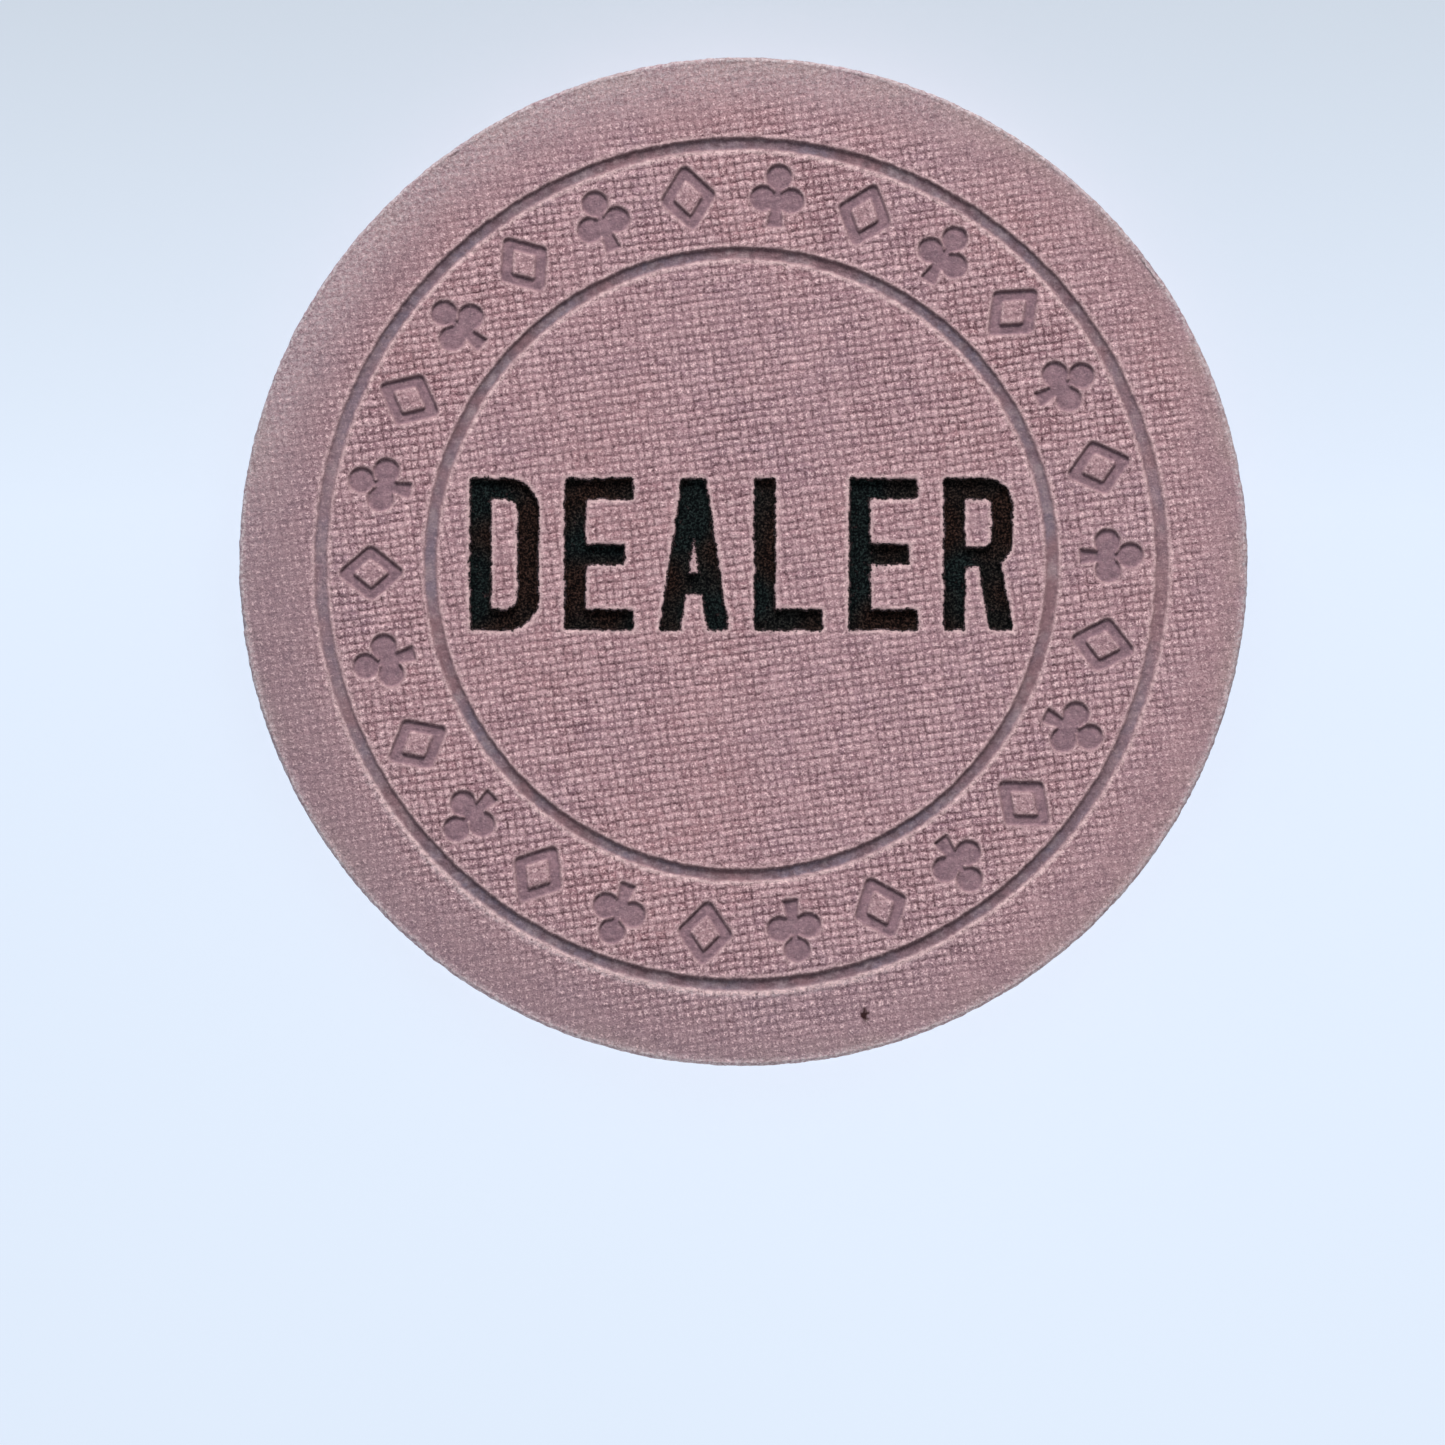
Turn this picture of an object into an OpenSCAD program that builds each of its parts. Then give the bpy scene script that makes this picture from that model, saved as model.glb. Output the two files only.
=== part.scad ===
// Dealer button: a compression-moulded clay disc with the same face on both sides.
// Each face has two ring grooves, a ring of small sunk marks between them, and a
// word hot-stamped across the middle, one piece of black foil to each letter.
// It lies flat: the origin is the middle of the bottom face, and +Z is up.

/* [Disc] */
// Diameter of the disc
disc_d = 39; // [38:0.5:44]
// Thickness over the two faces
disc_t = 3.4; // [2.8:0.1:5]
// Radius that rounds the rim where it meets each face
rim_r = 0.2; // [0.1:0.05:0.8]
// How far right the dies press their pattern, seen from the top face
press_x = -0.08; // [-0.2:0.01:0.2]
// How far up they press it
press_y = -0.1; // [-0.2:0.01:0.2]

/* [Ring grooves] */
// Radius of the inner groove's centre line
inner_groove_r = 12.01; // [11.8:0.01:12.3]
// Radius of the outer groove's centre line
outer_groove_r = 16.24; // [16:0.01:17.5]
// Width of each groove where it opens on the face
groove_w = 0.48; // [0.3:0.02:0.7]
// Depth of each groove
groove_depth = 0.16; // [0.1:0.02:0.24]

/* [Sunk marks] */
// How many clubs go round the ring, with as many diamonds between them
mark_pairs = 13; // [6:1:14]
// Radius of the circle through the middles of the marks
mark_ring_r = 14.3; // [14:0.05:14.4]
// Height of a mark, from its foot towards the rim
mark_h = 2.45; // [1.5:0.05:2.6]
// Width of a mark
mark_w = 2.1; // [1.2:0.05:2.2]
// Width of the line that draws a mark
mark_line = 0.42; // [0.3:0.02:0.6]
// Depth of a mark
mark_depth = 0.16; // [0.1:0.02:0.3]
// Angle of the first club, clockwise from the top of the face
first_mark_a = 5.6; // [0:0.1:27]

/* [Stamped letters] */
// Height of a letter
letter_h = 5.8; // [4:0.1:6]
// Width of a letter
letter_w = 2.58; // [2.2:0.02:3]
// Distance from one letter's middle to the next
letter_pitch = 3.66; // [3.5:0.01:3.7]
// Width of the line that draws a letter
letter_line = 0.74; // [0.5:0.02:0.8]
// How far the word stands above the middle of the pattern
word_rise = 0.38; // [-0.6:0.02:0.6]
// Depth that the hot die presses a letter into the clay
letter_depth = 0.16; // [0.12:0.01:0.3]
// Thickness of the foil at the bottom of a letter
foil_t = 0.05; // [0.03:0.01:0.1]

/* [Hidden] */
$fn = 96;
WORD = "DEALER";
clay = [0.62, 0.51, 0.53];
foil = [0.08, 0.08, 0.08];
disc_r = disc_d / 2;
mark_step = 360 / mark_pairs;
// Distance that a cut runs on past the face, so that it opens cleanly
over = 0.5;
// Length of the steps that the outlines' arcs are drawn in
arc_step = 0.11;

// Points on an arc about [x, y], from angle a0 to angle a1
function arc(x, y, r, a0, a1) =
    let (steps = ceil(PI * r * abs(a1 - a0) / 180 / arc_step))
    [for (i = [0:steps]) let (a = a0 + (a1 - a0) * i / steps) [x + r * cos(a), y + r * sin(a)]];

// A block standing on [0, 0] whose two right-hand corners have radius r
function bowl(w, h, r) = concat([[0, 0]], arc(w - r, r, r, -90, 0), arc(w - r, h - r, r, 0, 90), [[0, h]]);

// ---- the moulded disc ----

// Half of the disc's section, to be turned about the axis
module disc_section() {
    polygon(concat(
        [[0, 0]],
        arc(disc_r - rim_r, rim_r, rim_r, -90, 0),
        arc(disc_r - rim_r, disc_t - rim_r, rim_r, 0, 90),
        [[0, disc_t]]
    ));
}

// A round-bottomed groove cut into the top face
module ring_groove(r) {
    cutter_r = (groove_w * groove_w / 4 + groove_depth * groove_depth) / (2 * groove_depth);
    translate([0, 0, disc_t - groove_depth + cutter_r])
        rotate_extrude() translate([r, 0]) circle(r = cutter_r);
}

// A club: three round lobes on a stem, standing across the mark's middle
module club_outline() {
    lobe_r = mark_w * 0.24;
    lobe_x = mark_w / 2 - lobe_r;
    translate([0, mark_h / 2 - lobe_r]) circle(r = lobe_r);
    for (side = [-1, 1]) translate([side * lobe_x, -mark_h * 0.06]) circle(r = lobe_r);
    polygon([
        [-mark_line * 0.75, -mark_h / 2], [mark_line * 0.75, -mark_h / 2],
        [mark_line * 0.3, 0], [mark_line * 0.2, mark_h * 0.2],
        [-mark_line * 0.2, mark_h * 0.2], [-mark_line * 0.3, 0]
    ]);
}

// A diamond drawn with one line of even width and round outer corners
module diamond_outline() {
    corner_r = mark_line / 2;
    half_w = mark_w / 2 - corner_r;
    half_h = mark_h / 2 - corner_r;
    tilt = atan2(half_w, half_h);
    side = norm([half_w, half_h]);
    // How far the inner corners lie inside the line's middle
    inset_w = corner_r * side / half_h;
    inset_h = corner_r * side / half_w;
    difference() {
        polygon(concat(
            arc(half_w, 0, corner_r, -tilt, tilt),
            arc(0, half_h, corner_r, tilt, 180 - tilt),
            arc(-half_w, 0, corner_r, 180 - tilt, 180 + tilt),
            arc(0, -half_h, corner_r, 180 + tilt, 360 - tilt)
        ));
        polygon([
            [half_w - inset_w, 0], [0, half_h - inset_h],
            [inset_w - half_w, 0], [0, inset_h - half_h]
        ]);
    }
}

// The ring of clubs and diamonds, tops towards the rim, cut into the top face
module mark_ring() {
    translate([0, 0, disc_t - mark_depth]) linear_extrude(mark_depth + over)
        for (i = [0:mark_pairs - 1]) {
            rotate(-first_mark_a - mark_step * i) translate([0, mark_ring_r]) club_outline();
            rotate(-first_mark_a - mark_step * (i + 0.5)) translate([0, mark_ring_r]) diamond_outline();
        }
}

// ---- the stamped letters ----

module letter_d() {
    corner_r = letter_w * 0.46;
    difference() {
        polygon(bowl(letter_w, letter_h, corner_r));
        translate([letter_line, letter_line])
            polygon(bowl(letter_w - 2 * letter_line, letter_h - 2 * letter_line, corner_r - letter_line));
    }
}

module letter_e() {
    arm_w = letter_w - letter_line;
    square([letter_line, letter_h]);
    for (y = [0, letter_h - letter_line]) translate([letter_line - 0.01, y]) square([arm_w, letter_line]);
    translate([letter_line - 0.01, (letter_h - letter_line) / 2]) square([arm_w * 0.82, letter_line]);
}

module letter_a() {
    half_top = letter_line * 0.58;
    bar_y = letter_h * 0.24;
    // Half the width of the letter's outline at height y
    function half_at(y) = letter_w / 2 + (half_top - letter_w / 2) * y / letter_h;
    // Width of a sloped leg, measured level, that makes its line letter_line wide
    leg_w = letter_line * norm([letter_w / 2 - half_top, letter_h]) / letter_h;
    peak_y = letter_h * (letter_w / 2 - leg_w) / (letter_w / 2 - half_top);
    eye_y = min(peak_y, letter_h - letter_line);
    translate([letter_w / 2, 0]) difference() {
        polygon([[-letter_w / 2, 0], [letter_w / 2, 0], [half_top, letter_h], [-half_top, letter_h]]);
        polygon([
            [leg_w - half_at(0), -over], [half_at(0) - leg_w, -over],
            [half_at(0) - leg_w, 0], [half_at(bar_y) - leg_w, bar_y],
            [leg_w - half_at(bar_y), bar_y], [leg_w - half_at(0), 0]
        ]);
        polygon([
            [leg_w - half_at(bar_y + letter_line), bar_y + letter_line],
            [half_at(bar_y + letter_line) - leg_w, bar_y + letter_line],
            [max(0.02, half_at(eye_y) - leg_w), eye_y], [-max(0.02, half_at(eye_y) - leg_w), eye_y]
        ]);
    }
}

module letter_l() {
    square([letter_line, letter_h]);
    square([letter_w, letter_line]);
}

module letter_r() {
    bowl_h = letter_h * 0.58;
    corner_r = letter_w * 0.4;
    square([letter_line, letter_h]);
    translate([0, letter_h - bowl_h]) difference() {
        polygon(bowl(letter_w, bowl_h, corner_r));
        translate([letter_line, letter_line])
            polygon(bowl(letter_w - 2 * letter_line, bowl_h - 2 * letter_line, corner_r - letter_line));
    }
    polygon([
        [letter_w - letter_line * 1.1, 0], [letter_w, 0],
        [letter_w - letter_line * 0.6, letter_h - bowl_h + 0.1],
        [letter_w - letter_line * 1.7, letter_h - bowl_h + 0.1]
    ]);
}

// Letter number i of the word, where it stands on the top face
module letter_outline(i) {
    middle = (len(WORD) - 1) / 2;
    translate([press_x + (i - middle) * letter_pitch - letter_w / 2, press_y + word_rise - letter_h / 2]) {
        if (WORD[i] == "D") letter_d();
        if (WORD[i] == "E") letter_e();
        if (WORD[i] == "A") letter_a();
        if (WORD[i] == "L") letter_l();
        if (WORD[i] == "R") letter_r();
    }
}

// Everything that is sunk into the top face
module face_cuts() {
    translate([press_x, press_y, 0]) {
        ring_groove(inner_groove_r);
        ring_groove(outer_groove_r);
        mark_ring();
    }
    translate([0, 0, disc_t - letter_depth]) linear_extrude(letter_depth + over)
        for (i = [0:len(WORD) - 1]) letter_outline(i);
}

// Turns what is drawn for the top face over onto the bottom face
module turned_over() {
    translate([0, 0, disc_t]) rotate([180, 0, 0]) children();
}

module clay_body() {
    color(clay) difference() {
        rotate_extrude() disc_section();
        face_cuts();
        turned_over() face_cuts();
    }
}

module front_letter(i) {
    color(foil) translate([0, 0, disc_t - letter_depth]) linear_extrude(foil_t) letter_outline(i);
}

module back_letter(i) {
    turned_over() front_letter(i);
}

clay_body();
front_letter(0);  // front_letter_d
front_letter(1);  // front_letter_e1
front_letter(2);  // front_letter_a
front_letter(3);  // front_letter_l
front_letter(4);  // front_letter_e2
front_letter(5);  // front_letter_r
back_letter(0);  // back_letter_d
back_letter(1);  // back_letter_e1
back_letter(2);  // back_letter_a
back_letter(3);  // back_letter_l
back_letter(4);  // back_letter_e2
back_letter(5);  // back_letter_r
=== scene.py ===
"""Dealer button: the moulded clay disc and its foil-stamped letters, on a plain pale floor.

Lengths are in millimetres until a mesh is written, and x, y, z are the CAD frame's axes. Each face
is a sheet of points whose heights come from the weave, the grooves, the sunk marks and the letters.
"""

import math

import bpy
import numpy as np
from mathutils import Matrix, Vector
from mathutils.geometry import delaunay_2d_cdt


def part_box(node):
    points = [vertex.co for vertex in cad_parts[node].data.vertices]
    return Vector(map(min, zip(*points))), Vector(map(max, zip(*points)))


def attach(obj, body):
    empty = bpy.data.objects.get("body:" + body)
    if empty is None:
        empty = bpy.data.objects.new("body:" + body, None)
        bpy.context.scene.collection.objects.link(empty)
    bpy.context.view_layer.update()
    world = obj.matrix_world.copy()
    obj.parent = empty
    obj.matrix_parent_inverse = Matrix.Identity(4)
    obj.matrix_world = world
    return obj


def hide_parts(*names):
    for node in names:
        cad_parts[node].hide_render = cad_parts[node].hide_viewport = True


MM = 0.001

# The disc, beyond what the frame says
RIM_R = 0.20
INNER_GROOVE_R = 12.01
OUTER_GROOVE_R = 16.24
MARK_RING_R = 14.3
GROOVE_HALF_W = 0.24
GROOVE_DEPTH = 0.16
MARK_DEPTH = 0.16
LETTER_DEPTH = 0.16
PRESS_X = -0.08
PRESS_Y = -0.10

# The part of each depth that is a soft slope outside the steep wall
GROOVE_LIP = 0.022
GROOVE_WALL = 0.065
MARK_LIP = 0.025
LETTER_LIP = 0.02

# The foil: its CAD thickness, how thin it runs out, how far it lies in the clay and past its outline
FOIL_T = 0.05
FOIL_THIN = 0.012
FOIL_UNDER = 0.01
FOIL_REACH = 0.012

# The woven texture of the mould
WEAVE_PITCH = 0.318
WEAVE_TURN = math.radians(8.3)
WEAVE_DEPTH = 0.09
WEAVE_PHASES = (0.0, 0.17, 0.5, 0.83)

# Rows of points that follow the grooves, the rim and the outlines
GROOVE_ROWS = (0.0, 0.08, 0.15, 0.20, 0.24, 0.29, 0.36)
MARK_ROWS = (0.0, 0.045, -0.055, 0.12, -0.10)
LETTER_ROWS = (0.0, 0.06, -0.05, 0.14, -0.10)
ROW_STEP = 0.08
ROW_MARGIN = 0.05
MERGE_STEP = 0.03
RIM_STEPS = 1400
RIM_ARC_STEPS = 4
WALL_STEPS = 18
EDGE_INSET = 0.036
CORNER_SMOOTHING = 0.05
RAGGED_EDGE = 0.08
RAGGED_ROUNDS = 4

# How dusty the rim's wall and its two rounded edges are; on the rounded edges the pale colour is also
# painted light that lifts their shade
WALL_DUST = 0.35
ROUND_DUST_AND_LIGHT = 1.3

# A dark fleck in the clay of the front face
SPECK_X = 4.70
SPECK_Y = -17.50

FRONT_SEED = 11
BACK_SEED = 47
RIM_SEED = 5

# The camera looks straight down from this high above the top face, at a picture this wide
CAMERA_X = -0.805
CAMERA_Y = -6.21
CAMERA_HEIGHT = 600.0
PICTURE_W = 55.78


def smoothstep(low, high, value):
    t = np.clip((value - low) / (high - low), 0.0, 1.0)
    return t * t * (3.0 - 2.0 * t)


def noise(x, y, size, seed):
    """Smooth noise from -1 to 1, with features of about that size."""
    table = np.random.default_rng(seed).uniform(-1.0, 1.0, (256, 256))
    gx, gy = x / size + 512.0, y / size + 512.0
    ix, iy = np.floor(gx).astype(int), np.floor(gy).astype(int)
    fx, fy = gx - ix, gy - iy
    fx, fy = fx * fx * (3 - 2 * fx), fy * fy * (3 - 2 * fy)
    ix, iy, jx, jy = ix & 255, iy & 255, (ix + 1) & 255, (iy + 1) & 255
    low = table[ix, iy] * (1 - fx) + table[jx, iy] * fx
    high = table[ix, jy] * (1 - fx) + table[jx, jy] * fx
    return low * (1 - fy) + high * fy


# ---- outlines of the sunk marks and letters, read from the CAD nodes ----


def level_loops(node, z):
    """Outlines of what lies level at height z and faces up on a CAD node, with it on their left."""
    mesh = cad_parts[node].data
    mesh.calc_loop_triangles()
    co = np.empty(len(mesh.vertices) * 3)
    mesh.vertices.foreach_get("co", co)
    co = co.reshape(-1, 3) / MM
    tris = np.empty(len(mesh.loop_triangles) * 3, int)
    mesh.loop_triangles.foreach_get("vertices", tris)
    tris = tris.reshape(-1, 3)
    a, b, c = (co[tris[:, i]] for i in range(3))
    facing = np.cross(b - a, c - a)[:, 2]
    level = (np.abs(co[tris][:, :, 2] - z) < 0.002).all(axis=1) & (facing > 0)
    ids, points, edges = {}, [], set()
    for tri in tris[level]:
        corner = []
        for p in co[tri][:, :2]:
            key = (round(p[0], 3), round(p[1], 3))
            if key not in ids:
                ids[key] = len(points)
                points.append(key)
            corner.append(ids[key])
        for i in range(3):
            edges.add((corner[i], corner[(i + 1) % 3]))
    after = {p: q for p, q in edges if (q, p) not in edges}
    loops = []
    while after:
        start, here = next(iter(after.items()))
        del after[start]
        loop = [start]
        while here != start and here in after:
            loop.append(here)
            here = after.pop(here)
        loops.append(np.array([points[i] for i in loop]))
    return sorted(loops, key=lambda q: tuple(round(low, 2) for low in q.min(0).tolist()))


def even_steps(loop, step):
    """The closed outline in equal steps of about that length."""
    ends = np.vstack([loop, loop[:1]])
    run = np.concatenate([[0.0], np.cumsum(np.hypot(*np.diff(ends, axis=0).T))])
    count = max(8, round(run[-1] / step))
    at = np.linspace(0.0, run[-1], count, endpoint=False)
    return np.stack([np.interp(at, run, ends[:, i]) for i in (0, 1)], axis=1)


def softened(loop):
    """The outline with its corners rounded a little, in steps of ROW_STEP."""
    fine = 4
    loop = even_steps(loop, ROW_STEP / fine)
    reach = np.arange(-12, 13)
    weights = np.exp(-0.5 * (reach * ROW_STEP / fine / CORNER_SMOOTHING) ** 2)
    weights /= weights.sum()
    smooth = sum(w * np.roll(loop, -k, axis=0) for k, w in zip(reach, weights))
    return smooth[::fine]


def outward(loop):
    along = np.roll(loop, -1, axis=0) - np.roll(loop, 1, axis=0)
    normal = np.stack([along[:, 1], -along[:, 0]], axis=1)
    return normal / np.linalg.norm(normal, axis=1, keepdims=True)


def group_shapes(loops):
    """Outer outlines, each with the holes that lie in it."""
    def area(q):
        return 0.5 * float(np.sum(q[:, 0] * np.roll(q[:, 1], -1) - q[:, 1] * np.roll(q[:, 0], -1)))

    outers = [q for q in loops if area(q) > 0]
    shapes = []
    for outer in outers:
        low, high = outer.min(0), outer.max(0)
        holes = [q for q in loops if area(q) < 0 and (q.min(0) > low).all() and (q.max(0) < high).all()]
        shapes.append([outer, *holes])
    return shapes


def signed_distance(points, shapes, reach):
    """Distance from each point to the nearest outline, negative inside and never more than reach."""
    best = np.full(len(points), float(reach))
    for shape in shapes:
        low = shape[0].min(0) - reach
        high = shape[0].max(0) + reach
        near = np.flatnonzero(((points > low) & (points < high)).all(axis=1))
        if not len(near):
            continue
        p = points[near]
        a = np.vstack(shape)
        b = np.vstack([np.roll(q, -1, axis=0) for q in shape])
        d = b - a
        gap = np.empty(len(p))
        inside = np.zeros(len(p), bool)
        for i in range(0, len(p), 2000):
            q = p[i : i + 2000, None, :]
            t = np.clip(((q - a) * d).sum(2) / (d * d).sum(1), 0.0, 1.0)
            gap[i : i + 2000] = np.sqrt((((a + t[..., None] * d) - q) ** 2).sum(2).min(1))
            crosses = (a[:, 1] > q[..., 1]) != (b[:, 1] > q[..., 1])
            rise = np.where(d[:, 1] == 0, 1e-12, d[:, 1])
            x_at = a[:, 0] + (q[..., 1] - a[:, 1]) * d[:, 0] / rise
            inside[i : i + 2000] = (crosses & (q[..., 0] < x_at)).sum(1) % 2 == 1
        gap[inside] *= -1.0
        best[near] = np.where(inside, gap, np.minimum(best[near], gap))
    return best


# ---- the weave ----


def weave_at(x, y):
    """Where x, y lies in the weave, counted in yarns across and along it."""
    c, s = math.cos(WEAVE_TURN), math.sin(WEAVE_TURN)
    u = (x * c + y * s) / WEAVE_PITCH
    v = (y * c - x * s) / WEAVE_PITCH
    u_drift = 0.22 * noise(x, y, 6.0, 1) + 0.08 * noise(x, y, 0.9, 2)
    u_drift += 0.07 * noise(u, v / 14.0, 1.4, 3)
    v_drift = 0.22 * noise(x, y, 7.0, 4) + 0.08 * noise(x, y, 0.9, 5)
    v_drift += 0.07 * noise(u / 14.0, v, 1.4, 6)
    return u + u_drift + 0.15 * noise(x, y, 0.34, 7), v + v_drift + 0.12 * noise(x, y, 0.34, 8)


def island_distance(points):
    """Distance from each point to the middle of the nearest diamond's island, up to 1."""
    middles = [q.mean(0) for shape in MARKS for q in shape[1:]]
    best = np.ones(len(points))
    for middle in middles:
        near = (np.abs(points - middle) < 1.0).all(axis=1)
        best[near] = np.minimum(best[near], np.hypot(*(points[near] - middle).T))
    return best


def weave_points(radius):
    """Points on the weave's gaps and cells, out to that radius."""
    reach = int(radius / WEAVE_PITCH) + 6
    lines = (np.arange(-reach, reach)[:, None] + np.array(WEAVE_PHASES)).ravel()
    u, v = (g.ravel() for g in np.meshgrid(lines, lines, indexing="ij"))
    c, s = math.cos(WEAVE_TURN), math.sin(WEAVE_TURN)
    x = WEAVE_PITCH * (u * c - v * s)
    y = WEAVE_PITCH * (u * s + v * c)
    for _ in range(12):
        u_now, v_now = weave_at(x, y)
        du, dv = 0.8 * (u - u_now), 0.8 * (v - v_now)
        x = x + WEAVE_PITCH * (du * c - dv * s)
        y = y + WEAVE_PITCH * (du * s + dv * c)
    points = np.stack([x, y], axis=1)
    return points[np.hypot(x, y) < radius]


def pillow(to_gap):
    """The fall of a cell's round top towards a gap, from 0 at its middle to 1 in the gap."""
    crown = 0.5 + 0.5 * np.cos(2.0 * math.pi * to_gap)
    return 0.75 * crown + 0.25 * np.clip(1.0 - to_gap / 0.2, 0.0, 1.0)


def weave_relief(x, y, seed):
    """How deep each point lies between cells, from 0 to 1, its cell's tone and its place in the weave."""
    u, v = weave_at(x, y)
    rng = np.random.default_rng(seed)
    column_cut = 0.12 + 0.76 * rng.uniform(0.0, 1.0, (256, 256))
    row_cut = 0.58 + 0.42 * rng.uniform(0.0, 1.0, (256, 256)) ** 0.7
    lowered = 0.30 * rng.uniform(0.0, 1.0, (256, 256)) ** 2
    tone = rng.uniform(-1.0, 1.0, (256, 256))
    iu, iv = np.floor(u).astype(int) & 255, np.floor(v).astype(int) & 255
    nu, nv = np.rint(u).astype(int) & 255, np.rint(v).astype(int) & 255
    to_column, to_row = np.abs(u - np.rint(u)), np.abs(v - np.rint(v))
    column = column_cut[nu, iv] * pillow(to_column)
    row = row_cut[iu, nv] * pillow(to_row)
    deep = 1.0 - (1.0 - column) * (1.0 - row)
    deep = np.clip(deep + lowered[iu, iv] + 0.14 * noise(x, y, 0.16, seed + 9), -0.15, 1.2)
    return deep, tone[iu, iv], u, v


# ---- one face of the disc ----


def ragged_edge(x, y):
    """How far outside its outline a stamped letter really ends."""
    return RAGGED_EDGE * (0.6 * noise(x, y, 0.11, 9) + 0.4 * noise(x, y, 0.3, 10))


def face_points():
    """The points of a face and the triangles between them, with the ring of rim points first."""
    turn = 2 * math.pi * np.arange(RIM_STEPS) / RIM_STEPS
    circle = np.stack([np.cos(turn), np.sin(turn)], axis=1)
    layers = [circle * FACE_R, circle * (FACE_R - ROW_STEP)]
    for r in (INNER_GROOVE_R, OUTER_GROOVE_R):
        count = round(2 * math.pi * r / ROW_STEP)
        around = 2 * math.pi * np.arange(count) / count
        ring = np.stack([np.cos(around), np.sin(around)], axis=1)
        for d in sorted({s * g for g in GROOVE_ROWS for s in (-1, 1)}):
            layers.append(ring * (r + d) + (PRESS_X, PRESS_Y))
    for shapes, rows in ((MARKS, MARK_ROWS), (LETTERS, LETTER_ROWS)):
        for offset in rows:
            for shape in shapes:
                start, normal = np.vstack(shape), np.vstack([outward(q) for q in shape])
                points = start + normal * offset
                if shapes is LETTERS and not offset:
                    for _ in range(RAGGED_ROUNDS):
                        points = start + normal * ragged_edge(*points.T)[:, None]
                if offset:
                    off = signed_distance(points, [shape], 1.0) - offset
                    points = points[np.abs(off) < 0.015]
                layers.append(points)
    lattice = weave_points(FACE_R - ROW_STEP - ROW_MARGIN)
    r = np.hypot(lattice[:, 0] - PRESS_X, lattice[:, 1] - PRESS_Y)
    clear = np.ones(len(lattice), bool)
    for groove_r in (INNER_GROOVE_R, OUTER_GROOVE_R):
        clear &= np.abs(r - groove_r) > max(GROOVE_ROWS) + ROW_MARGIN
    for shapes, rows in ((MARKS, MARK_ROWS), (LETTERS, LETTER_ROWS)):
        d = signed_distance(lattice, shapes, 0.5)
        clear &= (d > max(rows) + ROW_MARGIN) | (d < min(rows) - ROW_MARGIN * 0.7)
    layers.append(lattice[clear])
    points = np.vstack(layers)
    cell = np.round(points / MERGE_STEP).astype(int)
    _, first = np.unique(cell[:, 0] * 100000 + cell[:, 1], return_index=True)
    first = np.union1d(first, np.arange(RIM_STEPS))
    points = points[first]
    made = delaunay_2d_cdt([Vector(p) for p in points.tolist()], [], [], 0, 1e-6, False)
    tris = np.array(made[2])
    corners = points[tris]
    a, b, c = corners[:, 0], corners[:, 1], corners[:, 2]
    area = np.cross(b - a, c - a)
    tris[area < 0] = tris[area < 0][:, ::-1]
    return points, tris


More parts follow.
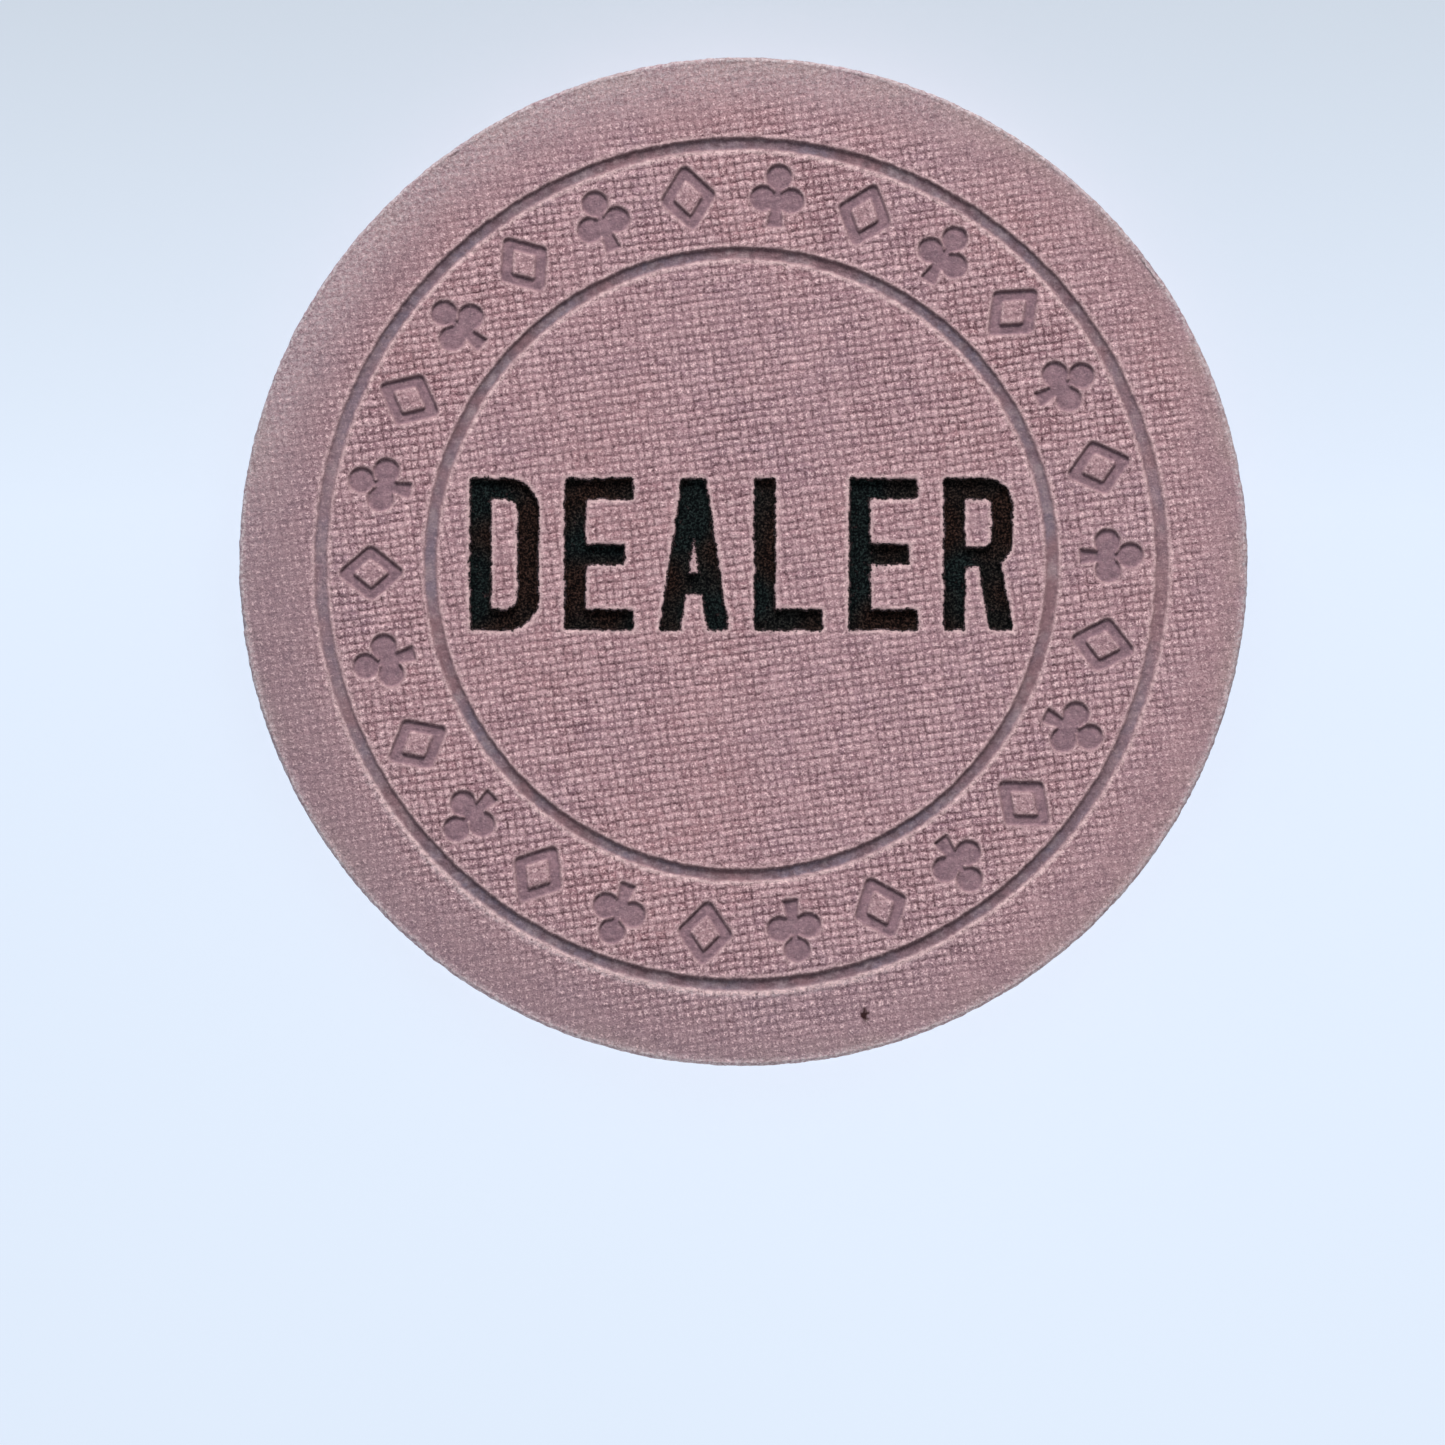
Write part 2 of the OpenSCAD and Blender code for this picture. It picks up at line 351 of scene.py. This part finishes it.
def face_fields(points, seed):
    """The height of each point of a face below its plane, and what its material needs to know."""
    x, y = points.T
    r = np.hypot(x, y)
    mark = signed_distance(points, MARKS, 0.8)
    letter = signed_distance(points, LETTERS, 0.8) - ragged_edge(x, y)
    pressed_r = np.hypot(x - PRESS_X, y - PRESS_Y)
    groove = np.minimum(np.abs(pressed_r - INNER_GROOVE_R), np.abs(pressed_r - OUTER_GROOVE_R))
    groove += 0.022 * noise(x, y, 0.30, seed + 6) + 0.014 * noise(x, y, 0.12, seed + 7)

    def towards(east, north):
        """How nearly each point lies in that direction from the middle: 1 in it, -1 opposite."""
        return (x * east + y * north) / np.maximum(r, 1.0)

    # The weave is crispest between the grooves and worn away towards the rim
    left = smoothstep(-0.2, 1.0, towards(-0.77, 0.64))
    right = smoothstep(0.2, 1.0, towards(0.88, -0.48))
    lower_left = smoothstep(0.5, 1.0, towards(-0.78, -0.62))
    worn_from = 18.2 - 1.3 * left - 0.7 * right - 0.7 * lower_left + 0.4 * noise(x, y, 2.2, seed + 1)
    strength = np.where(pressed_r < OUTER_GROOVE_R, 1.0, 0.84)
    strength[pressed_r < INNER_GROOVE_R] = 0.88
    strength *= 1.0 - 0.8 * smoothstep(-0.7, 1.1, r - worn_from)
    strength *= 0.94 + 0.14 * noise(x, y, 3.0, seed + 2) + 0.12 * noise(x, y, 0.7, seed + 3)
    strength *= smoothstep(0.26, 0.36, groove)
    strength *= smoothstep(0.02, 0.12, mark)
    strength *= 1.0 - 0.7 * smoothstep(0.5, 0.3, island_distance(points))
    strength *= 0.12 + 0.88 * smoothstep(0.05, 0.26, letter)
    deep, tone, across, along = weave_relief(x, y, seed)
    deep = np.where(np.minimum(mark, letter) < 0.0, 0.35, deep)
    drop = WEAVE_DEPTH * strength * deep
    drop += WEAVE_DEPTH * 0.35 * (1.0 - np.clip(strength, 0.0, 1.0))
    # Ring grooves: a steep wall, a gently hollow floor and a rounded lip
    wall = smoothstep(GROOVE_HALF_W + 0.01, GROOVE_HALF_W - 0.05, groove)
    hollow = np.clip(1.0 - (groove / GROOVE_HALF_W) ** 2, 0.0, 1.0)
    lip = np.exp(-np.maximum(groove - GROOVE_HALF_W, 0.0) / 0.07)
    rough = 1.0 + 0.08 * noise(x, y, 0.5, seed + 4)
    floor_drop = GROOVE_DEPTH - GROOVE_LIP - GROOVE_WALL
    drop += GROOVE_LIP * lip + (GROOVE_WALL * wall + floor_drop * hollow) * rough
    # Sunk marks and letters
    drop += (MARK_DEPTH - MARK_LIP) * smoothstep(0.03, -0.06, mark)
    drop += MARK_LIP * smoothstep(0.12, -0.02, mark)
    drop += (LETTER_DEPTH - LETTER_LIP) * smoothstep(0.05, -0.09, letter)
    drop += LETTER_LIP * smoothstep(0.2, -0.02, letter)
    drop += 0.004 * (1.0 + noise(x, y, 0.25, seed + 5))
    drop = np.maximum(drop, 0.0)
    if seed == FRONT_SEED:
        speck_x = x - SPECK_X + 0.09 * noise(x, y, 0.13, 12)
        speck = smoothstep(1.2, 0.8, np.hypot(speck_x / 0.14, (y - SPECK_Y) / 0.28))
    else:
        speck = np.zeros(len(x))
    # Dust lies along the upper left of the rim, on its very edge and below the outer groove
    dust_and_painted_light = 0.75 * smoothstep(0.3, 0.95, towards(-0.5, 0.87)) * smoothstep(17.0, 19.3, r)
    dust_and_painted_light = np.maximum(dust_and_painted_light, 0.7 * smoothstep(FACE_R - 0.2, FACE_R, r))
    lowest = smoothstep(0.55, 0.95, towards(-0.34, -0.94))
    dust_and_painted_light += 0.9 * lowest * np.exp(-(((pressed_r - OUTER_GROOVE_R - 0.38) / 0.14) ** 2))
    # Painted shade: the grooves are coloured darkest at the top and the bottom, where the key light rakes
    # across their walls, and the outer one is faint at the sides, where it runs along the light
    upright = smoothstep(0.1, 0.8, np.abs(towards(0.0, 1.0)))
    faint = np.where(pressed_r < MARK_RING_R, 0.1, 0.4) * (1.0 - upright)
    # Painted shade: a dark colour under the walls that the key light leaves dark, round the marks and on
    # the shaded side of each groove
    step = 0.03
    higher = signed_distance(points + (0.0, step), MARKS, 0.8)
    painted_wall_shade = smoothstep(0.0, 0.8, (higher - mark) / step) * np.exp(-(((mark + 0.03) / 0.06) ** 2))
    groove_r = np.where(pressed_r < MARK_RING_R, INNER_GROOVE_R, OUTER_GROOVE_R)
    away = np.sign(pressed_r - groove_r) * towards(0.0, 1.0)
    in_wall = np.exp(-(((groove - GROOVE_HALF_W + 0.04) / 0.06) ** 2))
    painted_wall_shade += 0.78 * smoothstep(0.1, 0.8, away) * in_wall
    # Painted highlight: the pale lip colour is made about twice as strong on the side of each groove that
    # faces the key light
    painted_lip_highlight = 1.0 + 1.1 * smoothstep(0.1, 0.8, -away)
    # Darker and greyer towards the lower left of the rim
    lower_left_darkening = smoothstep(-0.5, 1.0, towards(-0.75, -0.66)) * smoothstep(14.0, 18.0, r)
    fields = {
        "across": across,
        "along": along,
        "gap": np.clip(strength * deep, 0.0, 1.0),
        "tone": tone * np.clip(strength, 0.0, 1.0),
        "plain": 1.0 - np.clip(strength, 0.0, 1.0),
        "lower_left_darkening": lower_left_darkening,
        "dust_and_painted_light": dust_and_painted_light,
        "speck": speck,
        "groove": smoothstep(0.29, 0.13, groove) * (1.0 - faint),
        "dirt_and_painted_shade": upright,
        "mark": smoothstep(0.03, -0.05, mark),
        "painted_wall_shade": painted_wall_shade,
        "lip": painted_lip_highlight * np.exp(-(((groove - 0.32) / 0.07) ** 2))
        + 0.8 * np.exp(-(((mark - 0.07) / 0.05) ** 2))
        + 1.1 * np.exp(-(((letter - 0.13) / 0.06) ** 2)),
        "press": smoothstep(0.30, 0.04, letter),
        "bleed": smoothstep(0.16, 0.0, letter),
        "edge": smoothstep(DISC_R - 1.2, DISC_R - 0.1, r),
    }
    return drop, letter, fields


def rim_rings(seed):
    """The rings of points from one face round the rim to the other, just inside the CAD edge."""
    turn = 2 * math.pi * np.arange(RIM_STEPS) / RIM_STEPS
    arc = np.linspace(0.0, math.pi / 2, RIM_ARC_STEPS + 1)[1:]
    wall = np.linspace(DISC_T - RIM_R, RIM_R, WALL_STEPS + 1)[1:-1]
    section = [(FACE_R + RIM_R * math.sin(a), DISC_T - RIM_R + RIM_R * math.cos(a)) for a in arc]
    section += [(DISC_R, z) for z in wall]
    section += [(q[0], DISC_T - q[1]) for q in section[RIM_ARC_STEPS - 1 :: -1]]
    rings = []
    around = turn * DISC_R
    for ring_r, z in section:
        level = np.full_like(around, z)
        rough = 0.010 * noise(around, level, 0.5, seed) + 0.022 * noise(around, level, 0.16, seed + 1)
        chip = smoothstep(0.55, 0.95, noise(around, level, 0.7, seed + 2))
        corner = smoothstep(0.75, 0.15, min(z, DISC_T - z))
        rough += 0.016 * noise(around, level, 0.22, seed + 3)
        rr = ring_r - (EDGE_INSET + rough + 0.06 * chip * corner)
        rings.append(np.stack([rr * np.cos(turn), rr * np.sin(turn), np.full_like(turn, z)], axis=1))
    return rings


def write_mesh(name, co, faces, fields):
    """A smooth-shaded mesh object from points in millimetres, faces, and fields of point values."""
    mesh = bpy.data.meshes.new(name)
    corners = np.concatenate([f.ravel() for f in faces])
    sizes = np.concatenate([np.full(len(f), f.shape[1]) for f in faces])
    mesh.vertices.add(len(co))
    mesh.vertices.foreach_set("co", (co * MM).ravel())
    mesh.loops.add(len(corners))
    mesh.loops.foreach_set("vertex_index", corners)
    mesh.polygons.add(len(sizes))
    mesh.polygons.foreach_set("loop_start", np.concatenate([[0], np.cumsum(sizes)[:-1]]))
    mesh.polygons.foreach_set("use_smooth", np.ones(len(sizes), bool))
    for key, value in fields.items():
        mesh.attributes.new(key, "FLOAT", "POINT").data.foreach_set("value", value.astype(np.float32))
    mesh.update(calc_edges=True)
    mesh.validate()
    piece = bpy.data.objects.new(name, mesh)
    bpy.context.scene.collection.objects.link(piece)
    return piece


def turned_over(co):
    return co * np.array([1.0, -1.0, -1.0]) + np.array([0.0, 0.0, DISC_T])


def clay_piece(points, tris, front, back):
    """The whole moulded disc as one closed mesh."""
    count = len(points)
    top = np.column_stack([points, DISC_T - front[0]])
    bottom = turned_over(np.column_stack([points, DISC_T - back[0]]))
    rings = rim_rings(RIM_SEED)
    co = np.vstack([top, bottom, *rings])
    ids = np.arange(RIM_STEPS)
    between = [2 * count + k * RIM_STEPS + ids for k in range(len(rings))]
    chain = [ids, *between, count + (-ids) % RIM_STEPS]
    quads = []
    for upper, lower in zip(chain, chain[1:]):
        quads.append(np.column_stack([upper, lower, np.roll(lower, -1), np.roll(upper, -1)]))
    fields = {}
    for key in front[2]:
        if key == "dust_and_painted_light":
            # The rounded edges get the most pale colour: dust, and painted light that lifts their shade
            dusty = np.full(len(rings), WALL_DUST)
            dusty[:RIM_ARC_STEPS] = dusty[-RIM_ARC_STEPS:] = ROUND_DUST_AND_LIGHT
            on_rim = np.repeat(dusty, RIM_STEPS)
        elif key == "lower_left_darkening":
            on_rim = np.tile(front[2][key][:RIM_STEPS], len(rings))
        else:
            on_rim = np.full(len(rings) * RIM_STEPS, 1.0 if key in ("edge", "plain") else 0.0)
        fields[key] = np.concatenate([front[2][key], back[2][key], on_rim])
    return write_mesh("clay_disc", co, [tris, tris + count, np.vstack(quads)], fields)


def foil_piece(name, points, tris, drop, letter, index, over):
    """The foil of one letter: a thin skin on the clay inside the letter's outline, closed all round."""
    low = LETTERS[index][0].min(0) - 0.1
    high = LETTERS[index][0].max(0) + 0.1
    here = (letter < FOIL_REACH) & ((points > low) & (points < high)).all(axis=1)
    own = tris[here[tris].all(axis=1)]
    used, own = np.unique(own, return_inverse=True)
    own = own.reshape(-1, 3)
    p = points[used]
    z = DISC_T - drop[used]
    thin = smoothstep(0.0, -0.08, letter[used])
    top = np.column_stack([p, z + FOIL_THIN + (FOIL_T - FOIL_THIN) * thin * 0.6])
    under = np.column_stack([p, z - FOIL_UNDER])
    co = np.vstack([top, under])
    if over:
        co = turned_over(co)
    n = len(used)
    edges = np.vstack([own[:, [0, 1]], own[:, [1, 2]], own[:, [2, 0]]])
    code = set(map(tuple, edges.tolist()))
    rim = np.array([e for e in edges.tolist() if (e[1], e[0]) not in code])
    skirt = np.column_stack([rim[:, 0], rim[:, 0] + n, rim[:, 1] + n, rim[:, 1]])
    edge = smoothstep(-0.12, 0.0, letter[used])
    return write_mesh(name, co, [own, own[:, ::-1] + n, skirt], {"edge": np.concatenate([edge, edge])})


# ---- materials ----


def linear(r, g, b):
    """A colour given as 0 to 255 on a screen, as the shaders take it."""
    def one(c):
        c /= 255.0
        return c / 12.92 if c <= 0.04045 else ((c + 0.055) / 1.055) ** 2.4

    return (one(r), one(g), one(b), 1.0)


class Nodes:
    """Short ways to add nodes to one material."""

    def __init__(self, name):
        self.material = bpy.data.materials.new(name)
        self.material.use_nodes = True
        self.tree = self.material.node_tree
        self.shader = self.tree.nodes["Principled BSDF"]
        self.place = self.tree.nodes.new("ShaderNodeTexCoord").outputs["Object"]

    def link(self, source, target):
        if isinstance(source, (int, float, tuple)):
            target.default_value = source
        else:
            self.tree.links.new(source, target)

    def field(self, name):
        node = self.tree.nodes.new("ShaderNodeAttribute")
        node.attribute_name = name
        return node.outputs["Fac"]

    def math(self, operation, a, b=0.0, c=0.0, clamp=False):
        node = self.tree.nodes.new("ShaderNodeMath")
        node.operation = operation
        node.use_clamp = clamp
        for value, socket in zip((a, b, c), node.inputs):
            self.link(value, socket)
        return node.outputs[0]

    def span(self, value, low, high, to_low=0.0, to_high=1.0):
        node = self.tree.nodes.new("ShaderNodeMapRange")
        self.link(value, node.inputs["Value"])
        node.inputs["From Min"].default_value = low
        node.inputs["From Max"].default_value = high
        node.inputs["To Min"].default_value = to_low
        node.inputs["To Max"].default_value = to_high
        return node.outputs[0]

    def mix(self, share, a, b):
        node = self.tree.nodes.new("ShaderNodeMix")
        node.data_type = "RGBA"
        self.link(share, node.inputs["Factor"])
        self.link(a, node.inputs[6])
        self.link(b, node.inputs[7])
        return node.outputs[2]

    def grain(self, size, detail=2.0, roughness=0.5):
        """Noise from 0 to 1 with features of that size in millimetres."""
        node = self.tree.nodes.new("ShaderNodeTexNoise")
        self.link(self.place, node.inputs["Vector"])
        node.inputs["Scale"].default_value = 1.0 / (size * MM)
        node.inputs["Detail"].default_value = detail
        node.inputs["Roughness"].default_value = roughness
        return node.outputs["Fac"]

    def bump(self, height, distance, strength=1.0, below=None):
        node = self.tree.nodes.new("ShaderNodeBump")
        node.inputs["Distance"].default_value = distance * MM
        self.link(strength, node.inputs["Strength"])
        self.link(height, node.inputs["Height"])
        if below is not None:
            self.link(below, node.inputs["Normal"])
        return node.outputs[0]


def clay_material():
    """Dusty mauve moulded clay: pale cell tops of random tone with painted highlights on their crowns,
    painted shade in the weave's gaps, dirt in the grooves with painted shade at their top and bottom and
    under the walls the light leaves dark, mottling, and a worn rim with painted light on its rounded
    edges.
    """
    n = Nodes("clay")
    body = n.mix(n.span(n.grain(6.0, 2.0), 0.38, 0.62), linear(172, 124, 129), linear(157, 122, 136))
    body = n.mix(n.span(n.grain(1.6, 3.0), 0.3, 0.7, 0.0, 0.6), body, linear(176, 129, 134))
    top = n.mix(n.span(n.field("tone"), -1.0, 1.0, 0.05, 0.8), body, linear(226, 185, 189))
    fine = n.grain(0.075, 3.0, roughness=0.75)
    # Distance to the nearest gap of the weave, in yarns, made ragged by the grain
    across = n.math("PINGPONG", n.field("across"), 0.5)
    along = n.math("PINGPONG", n.field("along"), 0.5)
    ragged = n.math("MULTIPLY_ADD", fine, 0.6, -0.3)
    nearest = n.math("MINIMUM", across, along)
    line = n.span(n.math("ADD", nearest, ragged), 0.0, 0.2, 1.0, 0.0)
    crown = n.span(nearest, 0.10, 0.36, 0.15, 1.35)
    valley = n.span(nearest, 0.06, 0.30, 1.4, 0.3)
    # Painted shade: the weave's gaps are coloured dark, along lines made ragged by the grain
    gap = n.math("MULTIPLY", n.field("gap"), n.math("MULTIPLY_ADD", line, 0.5, 0.5))
    gap = n.math("MULTIPLY", gap, n.span(n.grain(0.22, 3.0, roughness=0.7), 0.38, 0.62, 0.35, 1.05))
    colour = n.mix(gap, top, linear(80, 46, 54))
    mottle = n.span(n.grain(0.3, 5.0, roughness=0.7), 0.41, 0.60)
    plain = n.mix(mottle, linear(118, 88, 95), linear(171, 136, 140))
    blotch = n.span(n.grain(1.0, 4.0, roughness=0.65), 0.42, 0.58)
    plain = n.mix(n.math("MULTIPLY", blotch, 0.5), plain, linear(175, 141, 142))
    colour = n.mix(n.math("MULTIPLY", n.field("plain"), 0.85), colour, plain)
    rim = n.mix(n.span(n.grain(2.5, 3.0), 0.42, 0.58), linear(160, 142, 136), linear(150, 120, 129))
    colour = n.mix(n.math("MULTIPLY", n.field("edge"), 0.4), colour, rim)
    # Darker and greyer towards the lower left of the rim
    colour = n.mix(n.math("MULTIPLY", n.field("lower_left_darkening"), 0.4), colour, linear(118, 106, 116))
    # Pale chalky dust, which on the rim's rounded edges is also painted light
    chalky = n.span(n.grain(0.16, 4.0, roughness=0.7), 0.42, 0.63, 0.1, 0.75)
    chalk = n.math("MULTIPLY", n.field("dust_and_painted_light"), chalky, clamp=True)
    colour = n.mix(chalk, colour, linear(214, 200, 202))
    cloudy = n.span(n.grain(0.35, 6.0, roughness=0.85), 0.35, 0.70, 0.30, 0.0)
    colour = n.mix(cloudy, colour, linear(96, 66, 74))
    dirt = n.mix(n.span(n.grain(2.2, 2.0), 0.4, 0.6), linear(119, 88, 94), linear(104, 95, 110))
    settled = n.span(n.grain(0.4, 5.0, roughness=0.7), 0.40, 0.58, 0.8, 0.0)
    # Dark blotches of dirt in the grooves, made heavier at the top and bottom as painted shade
    dirt_and_painted_shade = n.math("MULTIPLY", settled, n.math("MULTIPLY_ADD", n.field("dirt_and_painted_shade"), 0.75, 0.2))
    dusty = n.span(n.grain(1.1, 5.0, roughness=0.75), 0.48, 0.62, 0.0, 0.6)
    dirt = n.mix(dusty, dirt, linear(158, 140, 142))
    dirt = n.mix(dirt_and_painted_shade, dirt, linear(78, 58, 66))
    colour = n.mix(n.math("MULTIPLY", n.field("groove"), 0.85), colour, dirt)
    sunk = n.mix(settled, linear(138, 108, 118), linear(98, 76, 88))
    colour = n.mix(n.math("MULTIPLY", n.field("mark"), 0.7), colour, sunk)
    # Painted shade under the walls that face away from the key light
    colour = n.mix(n.math("MULTIPLY", n.field("painted_wall_shade"), 0.8, clamp=True), colour, linear(50, 26, 36))
    colour = n.mix(n.math("MULTIPLY", n.field("press"), 0.5), colour, linear(178, 144, 147))
    # Pale lips round the grooves, marks and letters: partly wear, partly painted highlight, strongest on
    # the lit side of the grooves
    worn_and_highlit_lip = n.span(n.grain(0.3, 4.0, roughness=0.7), 0.38, 0.62, 0.16, 0.56)
    worn_and_highlit_lip = n.math("MULTIPLY", n.field("lip"), worn_and_highlit_lip, clamp=True)
    colour = n.mix(worn_and_highlit_lip, colour, linear(221, 188, 187))
    # The grain shows on the cells, and hardly in what is sunk or worn smooth
    shown = n.math("MULTIPLY_ADD", n.field("mark"), -0.65, 1.0)
    shown = n.math("MULTIPLY_ADD", n.field("groove"), -0.75, shown, clamp=True)
    shown = n.math("MULTIPLY", shown, n.math("MULTIPLY_ADD", n.field("plain"), -0.65, 1.0))
    # Painted shade: dark pits in the valleys next to the weave's gaps
    painted_shade_pit = n.math("MULTIPLY", n.span(fine, 0.48, 0.30, 0.0, 1.0), shown)
    painted_shade_pit = n.math("MULTIPLY", painted_shade_pit, valley, clamp=True)
    colour = n.mix(painted_shade_pit, colour, linear(78, 48, 56))
    # Painted highlight: pale flecks on the crowns of the cells
    painted_highlight_fleck = n.math("MULTIPLY", n.span(fine, 0.485, 0.64, 0.0, 1.1), shown)
    painted_highlight_fleck = n.math("MULTIPLY", painted_highlight_fleck, crown, clamp=True)
    colour = n.mix(painted_highlight_fleck, colour, linear(240, 205, 205))
    bled = n.math("MULTIPLY_ADD", fine, 2.4, n.field("bleed"))
    colour = n.mix(n.span(bled, 1.80, 2.00), colour, linear(28, 18, 20))
    colour = n.mix(n.field("speck"), colour, linear(44, 12, 14))
    n.link(colour, n.shader.inputs["Base Color"])
    n.link(n.span(n.grain(0.3, 2.0), 0.3, 0.7, 0.72, 0.92), n.shader.inputs["Roughness"])
    n.shader.inputs["Specular IOR Level"].default_value = 0.3
    rough = n.bump(fine, 0.045, n.math("MULTIPLY", shown, 0.9))
    rough = n.bump(n.grain(0.26, 4.0, roughness=0.75), 0.10, below=rough)
    n.link(rough, n.shader.inputs["Normal"])
    return n.material


def foil_material():
    """Worn black stamping foil, velvety with speckles, and a brown or green cast in places."""
    n = Nodes("foil")
    cast = n.span(n.grain(3.2, 1.0), 0.42, 0.58)
    ink = n.mix(cast, linear(0, 2, 4), linear(3, 1, 1))
    speck = n.mix(cast, linear(52, 64, 62), linear(84, 60, 52))
    fine = n.grain(0.09, 4.0, roughness=0.8)
    ink = n.mix(n.span(fine, 0.48, 0.68, 0.0, 0.75), ink, speck)
    worn = n.math("MULTIPLY_ADD", n.field("edge"), 0.08, n.grain(0.28, 4.0, roughness=0.75))
    ink = n.mix(n.span(worn, 0.62, 0.76, 0.0, 0.6), ink, linear(96, 72, 72))
    chipped = n.math("MULTIPLY_ADD", fine, 2.4, n.field("edge"))
    ink = n.mix(n.span(chipped, 2.45, 2.60, 0.0, 0.9), ink, linear(140, 108, 110))
    n.link(ink, n.shader.inputs["Base Color"])
    n.link(n.span(worn, 0.35, 0.7, 0.6, 0.9), n.shader.inputs["Roughness"])
    n.shader.inputs["Specular IOR Level"].default_value = 0.04
    n.link(n.bump(fine, 0.03), n.shader.inputs["Normal"])
    return n.material


def floor_material():
    """Pale matt floor with the faintest mottling, and painted shade that darkens it towards +Y."""
    n = Nodes("floor")
    pale = n.mix(n.span(n.grain(60.0, 1.0), 0.3, 0.7), linear(221, 232, 247), linear(224, 235, 249))
    apart = n.tree.nodes.new("ShaderNodeSeparateXYZ")
    n.link(n.place, apart.inputs[0])
    # Painted shade: darker and greyer from 2 mm to 22 mm towards +Y
    pale = n.mix(n.span(apart.outputs["Y"], 2.0 * MM, 22.0 * MM), pale, linear(200, 209, 220))
    n.link(pale, n.shader.inputs["Base Color"])
    n.shader.inputs["Roughness"].default_value = 0.9
    return n.material


# ---- camera, floor and light ----


def add_camera():
    """Looks straight down, with the disc a little right of and well above the picture's middle."""
    data = bpy.data.cameras.new("camera")
    camera = bpy.data.objects.new("camera", data)
    bpy.context.scene.collection.objects.link(camera)
    bpy.context.scene.camera = camera
    camera.location = Vector((CAMERA_X, CAMERA_Y, CAMERA_HEIGHT + DISC_T)) * MM
    data.sensor_width = 36.0
    data.lens = data.sensor_width * CAMERA_HEIGHT / PICTURE_W
    data.clip_start = 0.01
    data.clip_end = 10.0


def add_floor():
    bpy.ops.mesh.primitive_plane_add(size=4.0, location=(0, 0, 0))
    floor = bpy.context.object
    floor.name = "floor"
    floor.data.materials.append(floor_material())
    return floor


def add_light(name, place, size, power, lit, colour=(1.0, 1.0, 1.0), shadow=True):
    """A square soft light that faces the disc and lights only what is in the collection lit."""
    data = bpy.data.lights.new(name, "AREA")
    data.size = size
    data.energy = power
    data.color = colour
    data.use_shadow = shadow
    lamp = bpy.data.objects.new(name, data)
    lamp.location = place
    lamp.rotation_euler = (-Vector(place)).to_track_quat("-Z", "Y").to_euler()
    lamp.light_linking.receiver_collection = lit
    bpy.context.scene.collection.objects.link(lamp)


def lit_group(name, members):
    group = bpy.data.collections.new(name)
    for member in members:
        group.objects.link(member)
    return group


def add_world(strength):
    world = bpy.data.worlds.new("studio")
    world.use_nodes = True
    back = world.node_tree.nodes["Background"]
    back.inputs["Color"].default_value = (0.86, 0.92, 1.0, 1.0)
    back.inputs["Strength"].default_value = strength
    bpy.context.scene.world = world


# ---- the scene ----

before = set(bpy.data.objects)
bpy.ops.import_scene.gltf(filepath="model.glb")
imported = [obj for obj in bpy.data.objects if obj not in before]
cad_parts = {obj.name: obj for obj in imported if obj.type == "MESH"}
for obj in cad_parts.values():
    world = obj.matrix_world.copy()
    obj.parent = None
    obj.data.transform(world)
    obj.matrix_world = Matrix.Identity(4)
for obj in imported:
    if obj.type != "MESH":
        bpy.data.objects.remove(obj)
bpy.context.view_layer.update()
clay_low, clay_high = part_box("clay_body")
DISC_R = (clay_high.x - clay_low.x) / 2 / MM
DISC_T = (clay_high.z - clay_low.z) / MM
FACE_R = DISC_R - RIM_R
WORD = ("d", "e1", "a", "l", "e2", "r")
FOIL_TOP = DISC_T - LETTER_DEPTH + FOIL_T

MARKS = group_shapes([softened(q) for q in level_loops("clay_body", DISC_T - MARK_DEPTH)])
LETTERS = [
    group_shapes([softened(q) for q in level_loops(f"front_letter_{letter}", FOIL_TOP)])[0]
    for letter in WORD
]

face, triangles = face_points()
front_face = face_fields(face, FRONT_SEED)
back_face = face_fields(face, BACK_SEED)

clay = clay_piece(face, triangles, front_face, back_face)
clay.data.materials.append(clay_material())
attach(clay, "root")
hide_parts("clay_body")

pieces = [clay]
foil = foil_material()
for side, (drop, distance, _) in (("front", front_face), ("back", back_face)):
    for i, letter in enumerate(WORD):
        name = f"{side}_foil_{letter}"
        piece = foil_piece(name, face, triangles, drop, distance, i, side == "back")
        piece.data.materials.append(foil)
        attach(piece, "root")
        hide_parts(f"{side}_letter_{letter}")
        pieces.append(piece)

floor = add_floor()
add_camera()
on_disc = lit_group("disc", pieces)
add_light("key", (0.06, 0.84, 0.60), 0.24, 13.7, on_disc)
add_light("fill", (-0.50, -0.05, 0.35), 0.40, 0.7, on_disc, (0.75, 0.88, 1.0))
add_light("bounce", (0.05, -0.50, 0.12), 0.40, 1.6, on_disc)
add_light("overhead", (0.05, 0.20, 0.60), 0.60, 4.7, lit_group("stage", [floor]), shadow=False)
add_world(0.22)
bpy.context.scene.view_settings.view_transform = "Standard"
